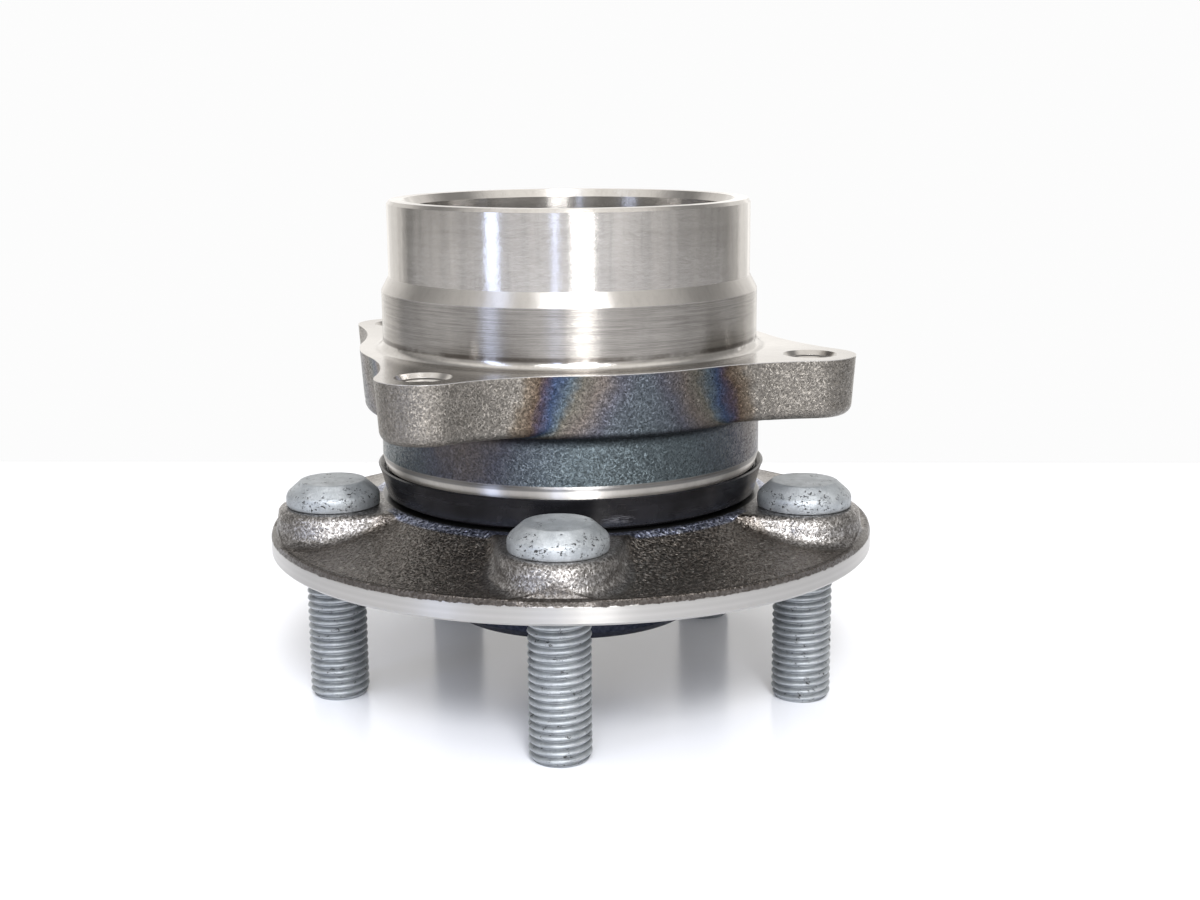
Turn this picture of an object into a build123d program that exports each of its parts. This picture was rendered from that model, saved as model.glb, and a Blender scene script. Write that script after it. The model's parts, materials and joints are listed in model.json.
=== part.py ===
from build123d import *
from math import acos, cos, degrees, radians, sin
import os

# Hub unit for a driven front wheel: a double-row angular-contact ball bearing whose outer ring
# bolts to the knuckle, and whose spindle carries the wheel flange, the pilot and five studs.
# Millimetres. Z is the axis of rotation and +Z points inboard, to the car. Z = 0 is the face
# that the brake disc and the wheel seat on. Stud 1 points along -Y.

# ---- balls and raceways -----------------------------------------------------------------
ball_r = 11.906 / 2        # 15/32 inch balls
ball_count = 12            # in each row
pitch_r = 26.5             # circle of the ball centres
contact_deg = 40           # contact angle of each row
groove_r = 1.06 * ball_r   # race groove, 53 % of the ball's diameter
ball_play = 0.10           # gap left between a ball and its grooves
pocket_play = 0.12         # gap left between a ball and its cage pocket
row_z = {"outboard": 23.0, "inboard": 48.0}
row_side = {"outboard": -1, "inboard": 1}     # which way the open side of a row faces

# ---- wheel flange -----------------------------------------------------------------------
flange_r = 62.5
rim_t = 3.5                # turned band around the flange
boss_plane_z = 10.8        # turned plane of the boss tops and of the seal's running face
boss_plane_r = 40.0        # where the forged web meets that plane
web_mid = (51.0, 6.3)      # a point in the hollow of the web
web_edge = (61.5, 4.6)
blank_r = 68.0             # the forging before its rim is turned
pilot_r = 27.05            # 54.1 mm wheel centring
pilot_z = -14.4
nut_recess_r = 21.5
nut_seat_z = -3.0

# ---- wheel studs and their bosses -------------------------------------------------------
stud_count = 5
stud_circle_r = 50.0       # 5 x 100 mm pattern
stud_r = 6.0               # M12
stud_tip_z = -29.5
stud_seat_r = 6.35         # serrated part, pressed into the flange
stud_head_r = 9.4
stud_head_flat_r = 7.0
stud_head_h = 5.2
boss_r = 10.9
boss_inner_half = 14.0     # half width of a boss at its inner end
boss_inner_r = 33.0
boss_spread = 1.1          # how much the drafted sides of a boss widen towards its foot
boss_foot_z = 3.0
boss_fillet_r = 2.5        # blend of a boss into the web
boss_edge_r = 1.2          # rounding of the boss tops and of the web's inner edge

# ---- spindle ----------------------------------------------------------------------------
shoulder_r = 24.2          # land beside each inner raceway
seal_fillet_r = 5.5
open_land_r = 20.4         # land on the open side of each inner raceway
journal_r = 17.0           # seat of the inner ring
journal_z = 37.0           # shoulder that the inner ring is pressed against
inner_face_z = 63.0        # inboard face of the inner ring
formed_r = 21.4            # end of the spindle, rolled over the inner ring
formed_z = 66.6
spline_teeth = 26
spline_minor_r = 12.1
spline_major_r = 13.3
spline_end_z = 46.0
relief_r = 14.0            # plain bore beyond the spline

# ---- outer ring -------------------------------------------------------------------------
ring_end_z = 14.6          # outboard end
ring_top_z = 71.2
spigot_r = 35.8            # seat of the outboard seal
spigot_z = 17.0
body_r = 39.1              # forged body between the seal and the mounting flange
under_fillet_r = 2.0
collar_z = 29.3            # underside of the round middle of the mounting flange
flange_under_z = 29.75     # underside of its lobes
flange_face_z = 41.5
foot_r = 38.45             # lower, larger barrel
foot_fillet_r = 1.9
barrel_r = 36.95           # upper barrel, which centres in the knuckle
barrel_z = 56.0            # its lower end
mouth_r = 32.75            # bore at the inboard end
race_open_r = 32.6         # bore on the open side of each outer raceway
middle_land_r = 30.3       # bore between the two raceways

# ---- mounting flange --------------------------------------------------------------------
bolt_circle_r = 50.8
bolt_azimuths = [-28.9, 71.1, 151.8, 232.5]   # degrees from -Y towards +X
hollow_r = [(50, 35), (45, 60), (60, 60), (60, 70)]   # hollow curves beside each lobe
lobe_r = 9.0
disc_r = 43.2              # round part of the flange between the lobes
flange_draft = 0.8         # how much the drafted sides close in at the underside
flange_edge_r = 2.3        # rounding of the flange's lower edge
tap_r = 4.35               # core of M10 x 1.25
countersink_r = 5.35

# ---- seals ------------------------------------------------------------------------------
core_t = 0.7               # sheet steel
core_top_z = 16.6
lip_play = 0.15            # gap left at each seal lip
cassette_z = 58.0
cassette_t = 0.8           # sheet steel
slinger_r = 31.5
encoder_t = 0.9


def polar(radius, azimuth):
    """Point at an azimuth in degrees, counted from -Y towards +X."""
    return (radius * sin(radians(azimuth)), -radius * cos(radians(azimuth)))


def groove_centre(row, outward):
    """Centre (r, z) of the arc that cuts a raceway, with outward +1 in the outer ring and -1 on
    the spindle side. The contact line runs from the inner groove, on the side away from the
    middle of the bearing, to the outer groove, on the side towards the middle."""
    reach = outward * (groove_r - ball_r - ball_play)
    return (pitch_r - reach * cos(radians(contact_deg)),
            row_z[row] + row_side[row] * reach * sin(radians(contact_deg)))


def hollow_centre(azimuth, side, radius):
    """Centre of the hollow curve beside a lobe, which touches the lobe and the flange's disc."""
    reach = disc_r + radius
    span = degrees(acos((reach ** 2 + bolt_circle_r ** 2 - (lobe_r + radius) ** 2)
                        / (2 * reach * bolt_circle_r)))
    return polar(reach, azimuth + side * span)


def edge_radius(edge):
    """Distance of an edge's middle from the axis of rotation."""
    return Vector(edge.center().X, edge.center().Y).length


def finish(part, name):
    part.label = name
    export_step(part, f"parts/{name}.step")


os.makedirs("parts", exist_ok=True)

# ======================================= outer ring ======================================
# The mounting flange: four lobes on a round middle. Its sides are drafted, so the outline at
# the underside is a little smaller all round.
with BuildPart() as flange_blank:
    for height, inset in ((flange_under_z, flange_draft), (flange_face_z, 0.0)):
        with BuildSketch(Plane.XY.offset(height)):
            Circle(disc_r - inset)
            for azimuth, hollows in zip(bolt_azimuths, hollow_r):
                lobe = polar(bolt_circle_r, azimuth)
                with Locations(lobe):
                    Circle(lobe_r - inset)
                for side, radius in zip((-1, 1), hollows):
                    hollow = hollow_centre(azimuth, side, radius)
                    with BuildLine():
                        Polyline((0, 0), lobe, hollow, close=True)
                    make_face()
                    with Locations(hollow):
                        Circle(radius + inset, mode=Mode.SUBTRACT)
    loft(ruled=True)
    fillet(flange_blank.edges().group_by(Axis.Z)[0], flange_edge_r)

# One forging, turned all over except the flange's sides and the body below it.
with BuildPart() as outer_ring:
    groove_in_z = groove_centre("inboard", 1)[1]
    collar_r = disc_r - flange_draft
    collar_edge_r = collar_r - body_r - under_fillet_r
    groove_out_z = groove_centre("outboard", 1)[1]
    with BuildSketch(Plane.XZ):
        with BuildLine():
            Polyline((race_open_r, ring_end_z), (spigot_r - 0.6, ring_end_z),
                     (spigot_r, ring_end_z + 0.6), (spigot_r, spigot_z), (38.4, spigot_z),
                     (body_r, 19.3), (body_r, collar_z - under_fillet_r))
            RadiusArc((body_r, collar_z - under_fillet_r),
                      (body_r + under_fillet_r, collar_z), under_fillet_r)
            RadiusArc((body_r + under_fillet_r, collar_z),
                      (collar_r, collar_z + collar_edge_r), -collar_edge_r)
            Polyline((collar_r, collar_z + collar_edge_r),
                     (collar_r, flange_under_z + flange_edge_r), (body_r, flange_face_z - 5.0),
                     (body_r, flange_face_z), (foot_r + foot_fillet_r, flange_face_z))
            RadiusArc((foot_r + foot_fillet_r, flange_face_z),
                      (foot_r, flange_face_z + foot_fillet_r), foot_fillet_r)
            Polyline((foot_r, flange_face_z + foot_fillet_r), (foot_r, barrel_z - 2.8),
                     (barrel_r, barrel_z), (barrel_r, ring_top_z - 0.7),
                     (barrel_r - 0.55, ring_top_z), (mouth_r + 1.0, ring_top_z),
                     (mouth_r, ring_top_z - 1.6), (mouth_r, 57.2), (race_open_r, 57.0),
                     (race_open_r, groove_in_z), (middle_land_r, groove_in_z),
                     (middle_land_r, groove_out_z), (race_open_r, groove_out_z),
                     (race_open_r, ring_end_z))
        make_face()
    revolve(axis=Axis.Z)
    add(flange_blank.part)

    for row in row_z:
        with BuildSketch(Plane.XZ):
            with Locations(groove_centre(row, 1)):
                Circle(groove_r)
        revolve(axis=Axis.Z, mode=Mode.SUBTRACT)
    with BuildSketch():
        Circle(middle_land_r)
    extrude(amount=ring_top_z, mode=Mode.SUBTRACT)
    with Locations(Plane.XY.offset(flange_face_z)):
        with Locations(*[polar(bolt_circle_r, azimuth) for azimuth in bolt_azimuths]):
            CounterSinkHole(tap_r, countersink_r)
finish(outer_ring.part, "outer_ring")

# ======================================== wheel hub ======================================
# A boss for one stud: round outside, with sides that splay towards the middle.
with BuildPart() as boss_blank:
    for height, spread in ((boss_foot_z, boss_spread), (boss_plane_z, 0.0)):
        with BuildSketch(Plane.XY.offset(height)):
            with Locations((0, -stud_circle_r)):
                Circle(boss_r + spread)
            with BuildLine():
                Polyline((-boss_r - spread, -stud_circle_r), (boss_r + spread, -stud_circle_r),
                         (boss_inner_half + spread, -boss_inner_r),
                         (-boss_inner_half - spread, -boss_inner_r), close=True)
            make_face()
    loft(ruled=True)

# Spindle, wheel flange and pilot are one forging. The rim is turned after the bosses are made.
with BuildPart() as wheel_hub:
    groove_z = groove_centre("outboard", -1)[1]
    with BuildSketch(Plane.XZ):
        with BuildLine():
            Polyline((nut_recess_r, pilot_z), (pilot_r - 1.5, pilot_z), (pilot_r, pilot_z + 1.5),
                     (pilot_r, 0.8), (30.0, 0.8), (30.8, 0), (blank_r, 0), (blank_r, 4.4),
                     web_edge)
            ThreePointArc(web_edge, web_mid, (boss_plane_r, boss_plane_z))
            Line((boss_plane_r, boss_plane_z), (shoulder_r + seal_fillet_r, boss_plane_z))
            RadiusArc((shoulder_r + seal_fillet_r, boss_plane_z),
                      (shoulder_r, boss_plane_z + seal_fillet_r), seal_fillet_r)
            Polyline((shoulder_r, boss_plane_z + seal_fillet_r), (shoulder_r, groove_z),
                     (open_land_r, groove_z), (open_land_r, journal_z - 0.5),
                     (open_land_r - 0.5, journal_z), (journal_r, journal_z),
                     (journal_r, inner_face_z - 1.5), (journal_r + 1.5, inner_face_z),
                     (formed_r - 0.2, inner_face_z), (formed_r, inner_face_z + 1.2))
            RadiusArc((formed_r, inner_face_z + 1.2), (formed_r - 2.6, formed_z), -2.8)
            Polyline((formed_r - 2.6, formed_z), (relief_r + 2.4, formed_z),
                     (relief_r, formed_z - 3.4), (relief_r, spline_end_z),
                     (spline_minor_r, spline_end_z), (spline_minor_r, nut_seat_z + 0.8),
                     (spline_minor_r + 0.8, nut_seat_z), (nut_recess_r - 1.0, nut_seat_z),
                     (nut_recess_r, nut_seat_z - 1.0), (nut_recess_r, pilot_z))
        make_face()
    revolve(axis=Axis.Z)
    with PolarLocations(0, stud_count):
        add(boss_blank.part)
    boss_edges = wheel_hub.edges(Select.LAST).filter_by(lambda edge: edge_radius(edge) < flange_r)
    fillet(boss_edges.filter_by(lambda edge: boss_foot_z < edge.center().Z < boss_plane_z - 0.1),
           boss_fillet_r)
    boss_rims = wheel_hub.edges().filter_by_position(Axis.Z, boss_plane_z, boss_plane_z)
    fillet(boss_rims.filter_by(lambda edge: edge_radius(edge) > boss_plane_r - 3.0), boss_edge_r)
    with BuildSketch(Plane.XZ):
        with Locations(groove_centre("outboard", -1)):
            Circle(groove_r)
    revolve(axis=Axis.Z, mode=Mode.SUBTRACT)
    with BuildSketch(Plane.XZ):
        with BuildLine():
            Polyline((flange_r - 0.5, -1.0), (flange_r - 0.5, 0), (flange_r, 0.5),
                     (flange_r, rim_t), (flange_r - 0.3, rim_t + 0.9),
                     (flange_r - 1.0, rim_t + 1.4), (flange_r - 1.0, boss_plane_z + 1.0),
                     (blank_r + 1.0, boss_plane_z + 1.0), (blank_r + 1.0, -1.0), close=True)
        make_face()
    revolve(axis=Axis.Z, mode=Mode.SUBTRACT)
    with Locations(Plane.XY.offset(boss_plane_z)):
        with PolarLocations(stud_circle_r, stud_count, start_angle=-90):
            Hole(stud_seat_r)
    with BuildSketch(Plane.XY.offset(nut_seat_z)):
        with PolarLocations(0, spline_teeth):
            Polygon((spline_minor_r - 0.6, -1.0), (spline_major_r, -0.6),
                    (spline_major_r, 0.6), (spline_minor_r - 0.6, 1.0), align=None)
    extrude(amount=spline_end_z - nut_seat_z, mode=Mode.SUBTRACT)
finish(wheel_hub.part, "wheel_hub")

# ======================================== inner ring =====================================
# Carries the inboard raceway. Pressed on the journal and held by the rolled end of the spindle.
with BuildPart() as inner_ring:
    groove_z = groove_centre("inboard", -1)[1]
    with BuildSketch(Plane.XZ):
        with BuildLine():
            Polyline((journal_r, journal_z + 0.5), (journal_r + 0.5, journal_z),
                     (open_land_r, journal_z), (open_land_r, groove_z), (shoulder_r, groove_z),
                     (shoulder_r, inner_face_z - 0.6), (shoulder_r - 0.6, inner_face_z),
                     (journal_r + 1.8, inner_face_z), (journal_r, inner_face_z - 1.8),
                     close=True)
        make_face()
    revolve(axis=Axis.Z)
    with BuildSketch(Plane.XZ):
        with Locations(groove_centre("inboard", -1)):
            Circle(groove_r)
    revolve(axis=Axis.Z, mode=Mode.SUBTRACT)
finish(inner_ring.part, "inner_ring")

# ====================================== balls and cages ==================================
for row in row_z:
    for number in range(ball_count):
        with BuildPart() as ball:
            with Locations((*polar(pitch_r, 360 / ball_count * number), row_z[row])):
                Sphere(ball_r)
        finish(ball.part, f"ball_{row}_{number + 1:02d}")

    # Crown cage: a ring on the open side of the row, with horns that snap past the balls.
    with BuildPart() as cage:
        side = row_side[row]
        with BuildSketch(Plane.XZ):
            with BuildLine():
                Polyline((24.9, row_z[row] - side * 1.8), (24.9, row_z[row] + side * 7.0),
                         (25.3, row_z[row] + side * 7.4), (28.5, row_z[row] + side * 7.4),
                         (28.9, row_z[row] + side * 7.0), (28.9, row_z[row] - side * 1.8),
                         close=True)
            make_face()
        revolve(axis=Axis.Z)
        with Locations(Plane.XY.offset(row_z[row])):
            with PolarLocations(pitch_r, ball_count, start_angle=-90):
                Sphere(ball_r + pocket_play, mode=Mode.SUBTRACT)
            with PolarLocations(pitch_r, ball_count, start_angle=-90 + 180 / ball_count):
                with Locations((0, 0, -side * 1.2)):
                    Box(6.0, 0.8, 2.6, mode=Mode.SUBTRACT)
    finish(cage.part, f"{row}_cage")

# ===================================== outboard seal =====================================
with BuildPart() as outboard_seal_core:
    with BuildSketch(Plane.XZ):
        with BuildLine():
            Polyline((spigot_r + core_t, ring_end_z - core_t), (spigot_r + core_t, core_top_z),
                     (spigot_r, core_top_z), (spigot_r, ring_end_z), (31.6, ring_end_z),
                     (31.6, ring_end_z - core_t), close=True)
        make_face()
    revolve(axis=Axis.Z)
finish(outboard_seal_core.part, "outboard_seal_core")

# Rubber bonded on the core: a flared weir outside, two lips that run on the boss plane and one
# that runs on the fillet of the spindle.
with BuildPart() as outboard_seal_rubber:
    lip_z = boss_plane_z + lip_play
    with BuildSketch(Plane.XZ):
        with BuildLine():
            Polyline((spigot_r + core_t, core_top_z), (38.5, 16.5), (39.7, 17.5), (40.1, 17.3),
                     (39.45, 15.6), (38.5, 11.6), (38.0, 11.5), (37.6, 13.0), (35.9, 13.2),
                     (37.2, lip_z), (36.8, lip_z), (34.9, 13.1), (33.6, 13.2), (34.7, lip_z),
                     (34.3, lip_z), (32.6, 13.0), (31.0, 13.1), (29.4, 12.6), (26.6, 12.2),
                     (26.35, 12.55), (28.9, 13.6), (30.9, ring_end_z), (31.6, ring_end_z),
                     (31.6, ring_end_z - core_t), (spigot_r + core_t, ring_end_z - core_t),
                     close=True)
        make_face()
    revolve(axis=Axis.Z)
finish(outboard_seal_rubber.part, "outboard_seal_rubber")

# ===================================== inboard seal ======================================
with BuildPart() as inboard_seal_case:
    with BuildSketch(Plane.XZ):
        with BuildLine():
            Polyline((mouth_r, cassette_z), (mouth_r, 62.6), (mouth_r - cassette_t, 62.6),
                     (mouth_r - cassette_t, cassette_z + cassette_t),
                     (28.2, cassette_z + cassette_t), (28.2, cassette_z), close=True)
        make_face()
    revolve(axis=Axis.Z)
finish(inboard_seal_case.part, "inboard_seal_case")

with BuildPart() as inboard_seal_lip:
    slinger_seat_r = shoulder_r + cassette_t
    tip_r = slinger_seat_r + lip_play
    tip_z = inner_face_z - cassette_t - lip_play
    with BuildSketch(Plane.XZ):
        with BuildLine():
            Polyline((30.8, cassette_z + cassette_t), (30.8, 59.3), (29.6, 60.2), (30.3, tip_z),
                     (29.9, tip_z), (28.7, 60.1), (27.4, 59.6), (25.5, 60.6), (tip_r, 60.2),
                     (26.2, 58.8), (tip_r, 57.5), (25.6, 57.1), (27.4, 57.9),
                     (28.2, cassette_z), (28.2, cassette_z + cassette_t), close=True)
        make_face()
    revolve(axis=Axis.Z)
finish(inboard_seal_lip.part, "inboard_seal_lip")

with BuildPart() as encoder_slinger:
    with BuildSketch(Plane.XZ):
        with BuildLine():
            Polyline((shoulder_r, 56.6), (slinger_seat_r, 56.6),
                     (slinger_seat_r, inner_face_z - cassette_t),
                     (slinger_r, inner_face_z - cassette_t), (slinger_r, inner_face_z),
                     (shoulder_r, inner_face_z), close=True)
        make_face()
    revolve(axis=Axis.Z)
finish(encoder_slinger.part, "encoder_slinger")

with BuildPart() as magnetic_encoder:
    with BuildSketch(Plane.XZ):
        with BuildLine():
            Polyline((26.2, inner_face_z), (slinger_r, inner_face_z),
                     (slinger_r, inner_face_z + encoder_t - 0.3),
                     (slinger_r - 0.3, inner_face_z + encoder_t),
                     (26.5, inner_face_z + encoder_t), (26.2, inner_face_z + encoder_t - 0.3),
                     close=True)
        make_face()
    revolve(axis=Axis.Z)
finish(magnetic_encoder.part, "magnetic_encoder")

# ====================================== wheel studs ======================================
with BuildPart() as stud_blank:
    head_top_z = boss_plane_z + stud_head_h
    with BuildSketch(Plane.XZ):
        with BuildLine():
            Polyline((0, head_top_z), (0, stud_tip_z), (5.1, stud_tip_z),
                     (stud_r, stud_tip_z + 1.1), (stud_r, 0), (stud_seat_r, 0.6),
                     (stud_seat_r, boss_plane_z), (stud_head_r - 0.4, boss_plane_z),
                     (stud_head_r, boss_plane_z + 0.5), (stud_head_r, boss_plane_z + 2.5))
            Spline((stud_head_r, boss_plane_z + 2.5), (8.7, boss_plane_z + 3.9),
                   (stud_head_flat_r, head_top_z), tangents=((0, 1), (-1, 0.8)))
            Line((stud_head_flat_r, head_top_z), (0, head_top_z))
        make_face()
    revolve(axis=Axis.Z)
for number in range(stud_count):
    with BuildPart() as wheel_stud:
        with Locations(polar(stud_circle_r, 360 / stud_count * number)):
            add(stud_blank.part)
    finish(wheel_stud.part, f"wheel_stud_{number + 1}")
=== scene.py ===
# %% [markdown]
# # A wheel hub unit, dressed in Blender
#
# The part is the hub unit of a driven front wheel. A forged spindle with a wheel flange and five
# pressed studs turns inside an outer ring, which bolts to the knuckle. It stands on its stud tips,
# with the wheel side down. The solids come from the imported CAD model, and this script gives them
# their finishes, models what is finer than the solids, and sets up the studio.

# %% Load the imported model
import bpy
import json
from math import cos, pi, radians, sin
from mathutils import Matrix, Vector


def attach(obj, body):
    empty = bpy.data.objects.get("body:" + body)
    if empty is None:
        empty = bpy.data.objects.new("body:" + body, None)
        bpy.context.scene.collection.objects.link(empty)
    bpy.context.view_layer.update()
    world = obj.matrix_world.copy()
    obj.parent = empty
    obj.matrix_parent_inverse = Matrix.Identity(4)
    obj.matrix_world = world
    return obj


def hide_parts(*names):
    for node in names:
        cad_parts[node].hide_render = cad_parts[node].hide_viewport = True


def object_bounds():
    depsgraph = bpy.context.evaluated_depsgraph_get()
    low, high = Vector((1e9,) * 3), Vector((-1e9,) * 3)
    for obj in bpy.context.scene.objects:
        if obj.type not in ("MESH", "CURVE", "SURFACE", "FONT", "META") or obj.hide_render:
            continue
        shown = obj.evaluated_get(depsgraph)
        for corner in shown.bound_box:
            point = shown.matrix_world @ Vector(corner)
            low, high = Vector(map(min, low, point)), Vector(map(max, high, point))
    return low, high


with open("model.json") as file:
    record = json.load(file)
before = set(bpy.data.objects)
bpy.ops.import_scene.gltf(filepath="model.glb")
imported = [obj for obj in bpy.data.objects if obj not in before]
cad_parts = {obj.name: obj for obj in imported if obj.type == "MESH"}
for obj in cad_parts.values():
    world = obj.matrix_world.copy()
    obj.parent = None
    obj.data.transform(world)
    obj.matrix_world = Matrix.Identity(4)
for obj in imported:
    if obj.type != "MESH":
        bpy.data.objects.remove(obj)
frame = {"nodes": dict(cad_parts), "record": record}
cad_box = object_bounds()
mm = 0.001
for imported in list(bpy.data.materials):
    bpy.data.materials.remove(imported)

# %% [markdown]
# ## Camera
#
# The view is a close one, from a little above the stud heads, with a normal lens. It could be
# aimed with a constraint, but a matrix made of yaw, pitch and roll keeps each angle a plain
# number, and the camera can be set down without touching it again.

# %% Place the camera
camera_place = Vector((16.78, -342.09, 90.46)) * mm
camera_yaw, camera_pitch, camera_roll = radians(1.788), radians(-11.846), radians(-0.33)
sensor_width = 36.0
focal_length = 49.96

camera = bpy.data.objects.new("camera", bpy.data.cameras.new("camera"))
bpy.context.scene.collection.objects.link(camera)
camera.data.sensor_width = sensor_width
camera.data.lens = focal_length
camera.data.clip_start = 10 * mm
camera.matrix_world = (Matrix.Translation(camera_place)
                       @ Matrix.Rotation(camera_yaw, 4, "Z")
                       @ Matrix.Rotation(pi / 2 + camera_pitch, 4, "X")
                       @ Matrix.Rotation(camera_roll, 4, "Z"))
bpy.context.scene.camera = camera
print("camera looks along", camera.matrix_world.to_3x3() @ Vector((0, 0, -1)))

# %% [markdown]
# ## A short way to wire nodes
#
# Every finish is a node tree, and so is the world around the part. Wiring nodes one by one takes
# many lines that say little, so a small class adds a node in one call: an input is either a number
# or another node's output. A mask is a value of 0 or 1 with a soft edge. Masks are multiplied where
# both must hold. A Mix node keeps a pair of inputs for each type: 2 and 3 take numbers, 4 and 5
# vectors, and 6 and 7 colours.


# %% Wiring
class Wiring:
    """Adds nodes to a tree, one call each. An input is a number or another node's output."""

    def __init__(self, tree):
        self.tree = tree

    def node(self, kind, inputs=None, **settings):
        """A node of any kind, with its inputs by number or name and its settings by name."""
        node = self.tree.nodes.new(kind)
        for name, value in settings.items():
            setattr(node, name, value)
        for socket, value in (inputs or {}).items():
            if isinstance(value, bpy.types.NodeSocket):
                self.tree.links.new(value, node.inputs[socket])
            else:
                node.inputs[socket].default_value = value
        return node

    def math(self, operation, a, b=0.0, c=0.0, clamp=False):
        return self.node("ShaderNodeMath", {0: a, 1: b, 2: c}, operation=operation,
                         use_clamp=clamp).outputs[0]

    def times(self, first, *others):
        """The product of two or more values or masks."""
        for other in others:
            first = self.math("MULTIPLY", first, other)
        return first

    def opposite(self, mask):
        """1 where the mask is 0, and 0 where it is 1."""
        return self.math("SUBTRACT", 1.0, mask)

    def above(self, value, edge, soft):
        """0 below the edge and 1 above it, over a width of soft."""
        return self.math("MULTIPLY_ADD", value, 1 / soft, 0.5 - edge / soft, clamp=True)

    def below(self, value, edge, soft):
        """1 below the edge and 0 above it, over a width of soft."""
        return self.opposite(self.above(value, edge, soft))

    def between(self, value, low, high, soft):
        """1 where value lies between low and high, with edges as wide as soft."""
        return self.math("SUBTRACT", self.above(value, low, soft), self.above(value, high, soft))

    def vector(self, operation, a, b=(0, 0, 0)):
        return self.node("ShaderNodeVectorMath", {0: a, 1: b}, operation=operation).outputs[0]

    def length(self, arrow):
        return self.node("ShaderNodeVectorMath", {0: arrow}, operation="LENGTH").outputs[1]

    def ramp(self, value, stops):
        """A colour or a grey for each value, from stops of (position, colour)."""
        node = self.node("ShaderNodeValToRGB", {0: value})
        elements = node.color_ramp.elements
        while len(elements) < len(stops):
            elements.new(0.5)
        for element, (position, colour) in zip(elements, stops):
            element.position = position
            element.color = (*colour, 1.0) if isinstance(colour, tuple) else (colour,) * 3 + (1.0,)
        return node.outputs[0]

    def mix(self, factor, a, b):
        """The colour a where factor is 0, and b where it is 1."""
        a, b = [(*value, 1.0) if isinstance(value, tuple) else value for value in (a, b)]
        return self.node("ShaderNodeMix", {0: factor, 6: a, 7: b}, data_type="RGBA").outputs[2]

    def blend(self, factor, a, b):
        """The number a where factor is 0, and b where it is 1."""
        return self.node("ShaderNodeMix", {0: factor, 2: a, 3: b}).outputs[0]

    def blend_vectors(self, factor, a, b):
        """The vector a where factor is 0, and b where it is 1."""
        return self.node("ShaderNodeMix", {0: factor, 4: a, 5: b}, data_type="VECTOR").outputs[1]


# %% [markdown]
# ## Finishes
#
# A finish is a material with its wiring. All places are in millimetres, taken from Object
# coordinates, which stay with the piece when it turns. Nearly every piece here is round about Z, so
# the radius and the height of a point say which surface it lies on.


# %% Finishes
class Finish(Wiring):
    """A Principled material, and the places and patterns that its nodes are made from."""

    def __init__(self, name, **settings):
        self.material = bpy.data.materials.new(name)
        self.material.use_nodes = True
        super().__init__(self.material.node_tree)
        self.shader = self.tree.nodes["Principled BSDF"]
        place = self.node("ShaderNodeTexCoord").outputs["Object"]
        self.place = self.vector("MULTIPLY", place, (1 / mm, 1 / mm, 1 / mm))
        self.y, self.z = self.node("ShaderNodeSeparateXYZ", {0: self.place}).outputs[1:3]
        self.radius = self.length(self.vector("MULTIPLY", self.place, (1, 1, 0)))
        self.set(**settings)

    def stretched(self, x, y, z):
        """Places scaled by axis: a pattern runs long where its factor is small."""
        return self.vector("MULTIPLY", self.place, (x, y, z))

    def noise(self, scale, detail=3.0, roughness=0.5, place=None):
        """Cloudy noise of 0 to 1, with scale in waves per millimetre.

        Detail adds finer waves, and roughness says how much they count.
        """
        return self.node("ShaderNodeTexNoise", {
            "Vector": place or self.place, "Scale": scale, "Detail": detail,
            "Roughness": roughness}).outputs["Fac"]

    def scatter(self, scale, detail):
        """Noise with its own value for each axis, to push a pattern out of shape."""
        return self.node("ShaderNodeTexNoise", {
            "Vector": self.place, "Scale": scale, "Detail": detail}).outputs["Color"]

    def bump(self, height, distance, normal=None):
        """The normal of a surface raised by height times distance, in millimetres."""
        inputs = {"Height": height, "Distance": distance * mm}
        if normal is not None:
            inputs["Normal"] = normal
        return self.node("ShaderNodeBump", inputs).outputs[0]

    def set(self, **values):
        """Gives the shader's inputs a number, a colour or a wire."""
        for name, value in values.items():
            socket = self.shader.inputs[name.replace("_", " ")]
            if isinstance(value, bpy.types.NodeSocket):
                self.tree.links.new(value, socket)
            else:
                socket.default_value = (*value, 1.0) if isinstance(value, tuple) else value


def report(finish):
    """Says how large a finish has grown."""
    print(finish.material.name, "has", len(finish.tree.nodes), "nodes so far")


# %% [markdown]
# ## Tool marks on turned and ground steel
#
# A lathe leaves a fine spiral, so a turned face is smooth along the cut and rough across it. Real
# grooves this fine would need millions of faces. Noise that reads only the radius and the height
# gives rings instead, and an anisotropic highlight with a tangent around the axis stretches each
# reflection across the rings, as the real grooves do.


# %% Tool marks
def tool_marks(finish, per_mm=7.0):
    """Heights of the rings around the axis that a cutting edge leaves: fine ones, and broad ones."""
    across = finish.node("ShaderNodeCombineXYZ", {0: finish.radius, 1: finish.z}).outputs[0]
    fine = finish.noise(per_mm, 2.0, 0.7, across)
    broad = finish.noise(per_mm / 9, 3.0, 0.6, across)
    return fine, broad


def along_cut(finish):
    """The direction of a tool mark, around the Z axis."""
    around = finish.vector("CROSS_PRODUCT", (0, 0, 1), finish.place)
    return finish.vector("NORMALIZE", around)


# %% [markdown]
# ## Forged skin
#
# A shot-blasted forging is covered in small dents that touch one another, each about half a
# millimetre wide. Cell noise gives round dents and plain noise makes them uneven, and both drive a
# bump. Bump alone looks soft, so each grain also leans its own way by a random vector, which makes
# some of them glint. The colour follows the height: tips are rubbed bright and hollows hold scale.


# %% Forged skin
def tilted(finish, normal, lean):
    """The normal leaning by a vector."""
    return finish.vector("NORMALIZE", finish.vector("ADD", normal, lean))


def raised(finish, normal, amount):
    """The normal leaning up by an amount, or down where it is negative."""
    lean = finish.node("ShaderNodeCombineXYZ", {2: amount}).outputs[0]
    return tilted(finish, normal, lean)


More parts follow.
